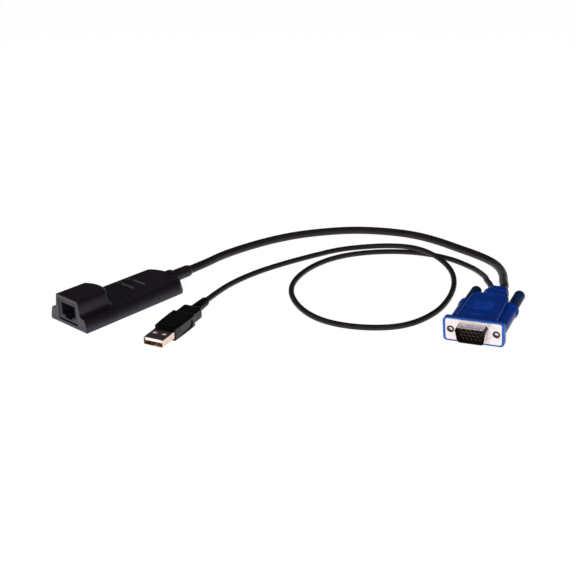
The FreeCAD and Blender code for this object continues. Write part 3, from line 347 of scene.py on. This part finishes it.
# ------------------------------------------------------------------ the object's materials
def make_materials():
    """One material for each slot of the record, and four for pieces with a look of their own."""
    low_wall, block_wall = (4.2 * MM, 8.4 * MM), (12.0 * MM, 17.6 * MM)
    cool, bluish = rgb(0.78, 0.76, 1.0), rgb(0.6, 0.75, 1)
    return {
        "housing": moulded("housing_plastic", rgb(0.0085, 0.0048, 0.0075), roughness=0.34,
                           edge=0.9 * MM, specular=0.8, gloss=cool, bands=(low_wall, block_wall),
                           print_and_painted_light_mask=deck_print, print_and_painted_light_colour=rgb(0.16, 0.15, 0.16)),
        # The socket's plastic is darker inside its cavity: painted shade.
        "socket": moulded("socket_plastic", rgb(0.03, 0.026, 0.033), roughness=0.5, specular=0.25,
                          print_and_painted_light_mask=painted_cavity_shade, print_and_painted_light_colour=rgb(0.002, 0.0017, 0.002)),
        "contact": plated("gold_contacts", rgb(0.83, 0.62, 0.3), roughness=0.22),
        "lens": clear_lens("lamp_lenses", rgb(0.02, 0.02, 0.022)),
        "lamp": clear_lens("lamp_resin", rgb(0.5, 0.5, 0.46)),
        "board": moulded("board_mask", rgb(0.012, 0.12, 0.05), roughness=0.35),
        "chip": moulded("chip_body", rgb(0.02, 0.02, 0.021), roughness=0.5),
        "can": plated("crystal_steel", rgb(0.7, 0.7, 0.7), roughness=0.25),
        "header": moulded("header_nylon", rgb(0.72, 0.69, 0.6), roughness=0.5),
        "lead": moulded("lead_vinyl", rgb(0.3, 0.03, 0.02), roughness=0.45),
        "screw_steel": plated("screw_zinc", rgb(0.72, 0.71, 0.7), roughness=0.3, waves=1.0 * MM),
        "relief": moulded("relief_rubber", rgb(0.014, 0.009, 0.013), roughness=0.45,
                          edge=0.2 * MM, gloss=cool),
        "jacket": cable_jacket("cable_vinyl", rgb(0.013, 0.009, 0.0105)),
        # The hood's rim is lighter towards its front: a painted highlight.
        "hood": moulded("hood_vinyl", rgb(0.0, 0.028, 0.225), roughness=0.36, edge=0.7 * MM,
                        mottle=0.08, specular=0.3, gloss=bluish,
                        print_and_painted_light_mask=painted_rim_highlight, print_and_painted_light_colour=rgb(0.03, 0.12, 0.43)),
        "bars": moulded("hood_bar_vinyl", rgb(0.003, 0.04, 0.275), roughness=0.36, mottle=0.08,
                        specular=0.3),
        "nickel": plated("nickel_plate", rgb(0.92, 0.84, 0.82), roughness=0.22),
        # Ahead of the video plate: darker streaks of painted reflection and shade, and painted
        # shade inside the mouth.
        "drawn_nickel": plated("drawn_nickel", rgb(0.85, 0.76, 0.75), roughness=0.22,
                               metallic=0.35, painted_streak_colour=rgb(0.55, 0.47, 0.45)),
        "warm_nickel": plated("warm_nickel", rgb(0.8, 0.64, 0.55), roughness=0.18,
                              waves=3 * MM, depth=0.02 * MM),
        # Dark rings round the screws' tips: painted shadow of the holes.
        "painted_hole_shadow": moulded("painted_hole_shadow_ring", rgb(0.03, 0.019, 0.015), roughness=0.35),
        "insulator": moulded("insulator_plastic", rgb(0.012, 0.007, 0.006), roughness=0.5),
        "pin": plated("pin_plating", rgb(0.32, 0.25, 0.19), roughness=0.3),
        "potting": moulded("potting_plastic", rgb(0.6, 0.6, 0.56), roughness=0.5),
        "knob": moulded("knob_plastic", rgb(0.002, 0.017, 0.075), roughness=0.4, edge=0.2 * MM,
                        specular=0.3),
        "grip": moulded("grip_vinyl", rgb(0.0012, 0.001, 0.0012), roughness=0.34, edge=0.4 * MM,
                        specular=0.3),
        "tongue": moulded("tongue_plastic", rgb(0.75, 0.7, 0.66), roughness=0.35, mottle=0.03),
    }


def dress_nodes(materials):
    """Gives each CAD node the material of its slot, and the two plugs' shells their own."""
    slots = {entry["node"]: entry["material_slot"] for entry in record["subparts"]}
    slots.update(video_plate="drawn_nickel", usb_shell="warm_nickel")
    for name, node in frame["nodes"].items():
        node.data.materials.clear()
        node.data.materials.append(materials[slots[name]])


# ------------------------------------------------------------------ cables
MAIN_DIAMETER, MAIN_LENGTH = 5.2 * MM, 0.321
MAIN_POINTS = (                         # in millimetres, from the housing to the video plug
    (54.2, 0, 4.5), (68.7, 0, 4.5), (87, 4, 3.3), (109, 3.5, 2.6), (130.5, -0.5, 2.6),
    (151.5, -8, 2.6), (170, -19.5, 2.6), (185, -32.5, 2.6), (196, -49, 2.6), (203.5, -67.5, 2.6),
    (204.5, -87, 2.6), (200.8, -107.8, 2.7), (196.8, -125.5, 3.3), (189.1, -140.3, 4.6),
    (178.7, -150.3, 6.3), (165.4, -159.3, 8.5), (153.5, -165.5, 10.1), (146.6, -169.8, 11),
    (141.4, -171.9, 11.35), (135.06, -175.09, 11.65))

USB_DIAMETER, USB_LENGTH = 3.4 * MM, 0.621
USB_POINTS = (                          # in millimetres, from the video plug to the USB plug
    (133.39, -168.11, 11.07), (135.9, -166.5, 11), (141.2, -164.1, 10.7), (145.7, -160.5, 10.2),
    (149.7, -156.6, 9.6), (156.1, -152.4, 8.5), (168.6, -140.2, 5.4), (175.9, -130.1, 3.5),
    (183.3, -112, 1.8), (180.5, -93, 1.7), (171.5, -77, 1.7), (156, -62, 1.7), (136, -52, 1.7),
    (111, -50.5, 1.7), (86.5, -57.5, 1.7), (69.5, -70.5, 1.7), (57.5, -90.5, 1.7),
    (55, -110, 1.7), (63.5, -130.5, 1.7), (80, -146, 1.7), (105, -149.5, 1.7),
    (128.5, -144.5, 1.7), (150.5, -135, 1.7), (168, -121.5, 2.2), (176.5, -104, 4.6),
    (175.8, -88.5, 6.2), (168.3, -74.5, 6.2), (159.5, -59.5, 4.2), (148.5, -46, 2.0),
    (131, -40, 1.7), (108, -34, 1.7), (84, -30, 1.7), (60.5, -30.8, 2.2), (38.89, -37.42, 4.0),
    (27.38, -40.81, 4.0))


def spline_cable(name, points, diameter, material):
    """A round cable along one smooth spline with these control points, in millimetres."""
    curve = bpy.data.curves.new(name, "CURVE")
    curve.dimensions = "3D"
    spline = curve.splines.new("NURBS")
    spline.points.add(len(points) - 1)
    for point, place in zip(spline.points, points):
        point.co = (*(Vector(place) * MM), 1.0)
    spline.order_u = 3
    spline.use_endpoint_u = True
    spline.resolution_u = 12
    curve.bevel_depth = diameter / 2
    curve.bevel_resolution = 6
    curve.use_fill_caps = True
    curve.materials.append(material)
    cable = bpy.data.objects.new(name, curve)
    bpy.context.collection.objects.link(cable)
    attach(cable, "adapter")
    return cable


def make_cables(material):
    """The two free cables, drawn as smooth splines in place of the CAD's two cables, which are
    hidden.
    """
    main = spline_cable("main_lead", MAIN_POINTS, MAIN_DIAMETER, material)
    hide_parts("main_cable")

    usb = spline_cable("usb_lead", USB_POINTS, USB_DIAMETER, material)
    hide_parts("usb_cable")


# ------------------------------------------------------------------ small pieces on the video plug
def place_on_plug(mesh, name, material):
    """Turns a mesh in the video plug's own axes into a piece on the adapter."""
    data = bpy.data.meshes.new(name)
    mesh.normal_update()
    mesh.to_mesh(data)
    mesh.free()
    data.transform(plug_frame())
    data.materials.append(material)
    piece = bpy.data.objects.new(name, data)
    bpy.context.collection.objects.link(piece)
    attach(piece, "adapter")


def rounded_bar(mesh, centre, length, width, height):
    """A low bar with rounded ends and softened top edges, rooted just below its centre's z."""
    root = 0.3 * MM
    steps = 8
    levels = ((0.0, -root), (0.0, 0.6 * height), (0.35 * height, height))   # inset and height
    rings = []
    for inset, z in levels:
        ring = []
        for end in (1, -1):
            for i in range(steps + 1):
                angle = math.pi * i / steps
                radius = width / 2 - inset
                y = end * ((length - width) / 2 + radius * math.sin(angle))
                x = end * radius * math.cos(angle)
                ring.append(mesh.verts.new((centre[0] + x, centre[1] + y, centre[2] + z)))
        rings.append(ring)
    count = len(rings[0])
    for low, high in zip(rings, rings[1:]):
        for i in range(count):
            j = (i + 1) % count
            mesh.faces.new((low[i], low[j], high[j], high[i]))
    mesh.faces.new(rings[-1])
    mesh.faces.new(rings[0][::-1])


def hood_bars(material):
    """Plain raised bars in the hood's panel: a block of five and one short bar nearer the plate."""
    panel, rise = 5.85 * MM, 0.18 * MM
    rows, first_back, pitch = 5, 16.6 * MM, 2.1 * MM
    first_side, lean = 0.35 * MM, 0.25 * MM     # each row lies a little further to one side
    mesh = bmesh.new()
    for row in range(rows):
        centre = (-(first_back + pitch * row), first_side - lean * row, panel)
        rounded_bar(mesh, centre, length=11.2 * MM, width=1.5 * MM, height=rise)
    rounded_bar(mesh, (-9.2 * MM, -0.9 * MM, panel), length=6.4 * MM, width=1.1 * MM, height=rise)
    place_on_plug(mesh, "hood_bars", material)


def screw_hole_shadow_rings(material):
    """A dark washer-shaped ring round each thumbscrew's tip, in the plate's face: painted shadow of
    the hole round the tip.
    """
    # radius and distance ahead of the plate, in millimetres
    profile = ((1.1, -0.2), (1.1, 0.04), (1.25, 0.1), (1.95, 0.1), (2.1, 0.05), (2.1, -0.2))
    steps = 36
    joints = joints_by_body()
    plug = plug_frame()
    for body in ("left_thumbscrew", "right_thumbscrew"):
        across = (plug.inverted() @ Vector(joints[body]["pos_m"])).y
        mesh = bmesh.new()
        rings = []
        for radius, ahead in profile:
            angles = [math.tau * i / steps for i in range(steps)]
            rings.append([mesh.verts.new((ahead * MM, across + radius * MM * math.cos(angle),
                                          radius * MM * math.sin(angle))) for angle in angles])
        for near, far in zip(rings, rings[1:] + rings[:1]):
            for i in range(steps):
                j = (i + 1) % steps
                mesh.faces.new((near[i], near[j], far[j], far[i]))
        bmesh.ops.recalc_face_normals(mesh, faces=mesh.faces)
        place_on_plug(mesh, body.replace("thumbscrew", "painted_screw_hole_shadow"), material)


# ------------------------------------------------------------------ studio
def seen_directly(tree):
    """1 for rays that show the background (to the camera, in gloss, through clear pieces),
    and 1 for the camera's own rays alone."""
    path = add(tree, "LightPath").outputs
    camera = path["Is Camera Ray"]
    around = math_node(tree, "MAXIMUM", path["Is Glossy Ray"], path["Is Transmission Ray"])
    return math_node(tree, "MAXIMUM", camera, around), camera


def make_floor():
    """A plain pale floor that shows white and keeps a soft shadow."""
    width, tone_size = 8.0, 0.6
    low_tone, high_tone = rgb(0.78, 0.78, 0.78), rgb(0.82, 0.82, 0.82)
    shown_tone, shown_glow = rgb(0.2, 0.2, 0.2), 0.92       # where it is seen: white, faint shadow

    bpy.ops.mesh.primitive_plane_add(size=width, location=(0, 0, 0))
    floor = bpy.context.object
    floor.name = "floor"
    material, tree, shader, place = new_material("studio_floor")
    tone = mix(tree, spread(tree, noise(tree, place, tone_size), 0, 1), low_tone, high_tone)
    seen, _ = seen_directly(tree)
    fill(tree, shader.inputs["Base Color"], mix(tree, seen, tone, shown_tone))
    shader.inputs["Roughness"].default_value = 0.9
    shader.inputs["Specular IOR Level"].default_value = 0.0
    shader.inputs["Emission Color"].default_value = rgb(1, 1, 1)
    fill(tree, shader.inputs["Emission Strength"], math_node(tree, "MULTIPLY", seen, shown_glow))
    floor.data.materials.append(material)


def make_world():
    """A dim grey room whose horizon shows white, as the backdrop does."""
    band_height, extra_for_camera, sharpness = 0.08, 0.4, 2.0
    dim_room, dark_gloss = rgb(0.3, 0.3, 0.31), rgb(0.035, 0.033, 0.036)

    world = bpy.data.worlds.new("studio")
    bpy.context.scene.world = world
    world.use_nodes = True
    tree = world.node_tree
    background = tree.nodes["Background"]
    direction = add(tree, "TexCoord").outputs["Generated"]
    height = add(tree, "SeparateXYZ", Vector=direction).outputs["Z"]
    seen, camera = seen_directly(tree)
    reach = math_node(tree, "MULTIPLY_ADD", camera, extra_for_camera, band_height)
    share = math_node(tree, "DIVIDE", height, reach)
    band = math_node(tree, "SUBTRACT", 1.0, share, clamp=True)
    band = math_node(tree, "MINIMUM", math_node(tree, "MULTIPLY", band, sharpness), 1.0)
    room = mix(tree, seen, dim_room, dark_gloss)
    white = math_node(tree, "MULTIPLY", band, seen)
    fill(tree, background.inputs["Color"], mix(tree, white, room, rgb(1, 1, 1)))
    background.inputs["Strength"].default_value = 1.0


def direction_from(azimuth, elevation):
    """The direction, in degrees, from the object to a lamp or camera."""
    a, e = math.radians(azimuth), math.radians(elevation)
    return Vector((math.cos(e) * math.cos(a), math.cos(e) * math.sin(a), math.sin(e)))


def aim(thing, target, azimuth, elevation, distance):
    """Sets a lamp or camera this far from its target, facing it."""
    away = direction_from(azimuth, elevation)
    thing.location = target + away * distance
    thing.rotation_euler = (-away).to_track_quat("-Z", "Y").to_euler()


def softbox(name, azimuth, elevation, distance, size, power):
    """A broad softbox that faces the middle of the object and isn't mirrored in it."""
    low, high = cad_box
    middle = (Vector(low) + Vector(high)) / 2
    light = bpy.data.lights.new(name, "AREA")
    light.shape = "RECTANGLE"
    light.size, light.size_y = size
    light.energy = power
    lamp = bpy.data.objects.new(name, light)
    bpy.context.collection.objects.link(lamp)
    lamp.visible_glossy = False
    aim(lamp, middle, azimuth, elevation, distance)


def make_lights():
    softbox("key_softbox", azimuth=195, elevation=17, distance=1.3, size=(1.1, 0.5), power=17.0)
    softbox("fill_softbox", azimuth=275, elevation=25, distance=1.4, size=(0.9, 0.5), power=4.5)


def make_camera():
    """The photographer's place: low over the front left, with a slightly long lens."""
    data = bpy.data.cameras.new("camera")
    data.lens = 57.1
    data.sensor_width = 36.0
    data.clip_start = 0.01
    data.clip_end = 50.0
    camera = bpy.data.objects.new("camera", data)
    bpy.context.collection.objects.link(camera)
    target = Vector((80.7, -59.0, 0.0)) * MM
    aim(camera, target, azimuth=220.4, elevation=23.68, distance=560.6 * MM)
    bpy.context.scene.camera = camera


bpy.context.scene.view_settings.view_transform = "Standard"
make_camera()
make_world()
make_floor()
make_lights()
finishes = make_materials()
dress_nodes(finishes)
make_cables(finishes["jacket"])
hood_bars(finishes["bars"])
screw_hole_shadow_rings(finishes["painted_hole_shadow"])
